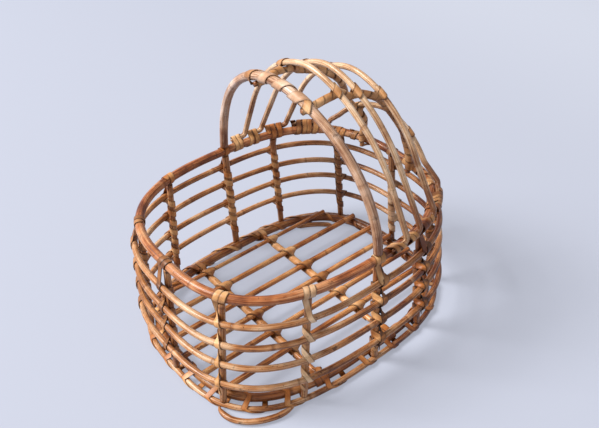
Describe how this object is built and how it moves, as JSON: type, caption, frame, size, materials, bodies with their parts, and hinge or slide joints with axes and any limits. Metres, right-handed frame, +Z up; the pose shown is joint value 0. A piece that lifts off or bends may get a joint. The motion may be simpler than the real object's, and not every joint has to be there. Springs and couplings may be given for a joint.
{
  "type": "hooded rattan basket",
  "caption": "Open oval rattan basket of bent canes with a fixed half hood of bent ribs over one end, a slatted floor and split cane lashings.",
  "frame": {"origin": "on the ground under the middle of the whole basket", "axes": "+X along the basket toward its hooded head end, +Y across the basket, +Z up"},
  "size_m": [0.4052, 0.3224, 0.3497],
  "materials": {
    "rim_cane": "smooth varnished rattan, warm orange brown, satin",
    "pale_cane": "smooth pale straw rattan with a grey sheen, satin",
    "core_cane": "round honey tan rattan core with darker streaks, semi-matte",
    "slat_cane": "straight honey tan rattan, semi-matte",
    "split_cane": "flat split cane, straw to deep orange, semi-matte"
  },
  "bodies": {
    "root": {"base_hoop": "core_cane", "crossbar_foot": "slat_cane", "crossbar_head": "slat_cane", "crossbar_lashing_foot": "split_cane", "crossbar_lashing_head": "split_cane", "floor_slat_1": "slat_cane", "floor_slat_2": "slat_cane", "floor_slat_3": "slat_cane", "floor_slat_4": "slat_cane", "floor_slat_5": "slat_cane", "floor_slat_6": "slat_cane", "ground_lashing": "split_cane", "ground_ring": "core_cane", "ground_ring_splice": "core_cane", "ground_ring_tail": "core_cane", "hood_front_arch": "pale_cane", "hood_rib_1": "pale_cane", "hood_rib_2": "pale_cane", "hood_rib_3": "pale_cane", "hood_rib_4": "pale_cane", "hood_stringer_far": "rim_cane", "hood_stringer_near": "rim_cane", "rim_hoop": "rim_cane", "stake_foot": "core_cane", "stake_foot_corner_far": "core_cane", "stake_foot_corner_near": "core_cane", "stake_foot_side_far": "core_cane", "stake_foot_side_near": "core_cane", "stake_head": "core_cane", "stake_head_corner_far": "core_cane", "stake_head_corner_near": "core_cane", "stake_head_side_far": "core_cane", "stake_head_side_near": "core_cane", "stake_lashing_foot": "split_cane", "stake_lashing_foot_corner_far": "split_cane", "stake_lashing_foot_corner_near": "split_cane", "stake_lashing_foot_side_far": "split_cane", "stake_lashing_foot_side_near": "split_cane", "stake_lashing_head": "split_cane", "stake_lashing_head_corner_far": "split_cane", "stake_lashing_head_corner_near": "split_cane", "stake_lashing_head_side_far": "split_cane", "stake_lashing_head_side_near": "split_cane", "stake_lashing_middle_far": "split_cane", "stake_lashing_middle_near": "split_cane", "stake_middle_far": "core_cane", "stake_middle_near": "core_cane", "stringer_lashing_far": "split_cane", "stringer_lashing_near": "split_cane", "tail_lashing_back_far": "split_cane", "tail_lashing_back_near": "split_cane", "tail_lashing_front_far": "split_cane", "tail_lashing_front_near": "split_cane", "weaver_1": "core_cane", "weaver_2": "core_cane", "weaver_3": "core_cane", "weaver_4": "core_cane"}
  },
  "joints": []
}
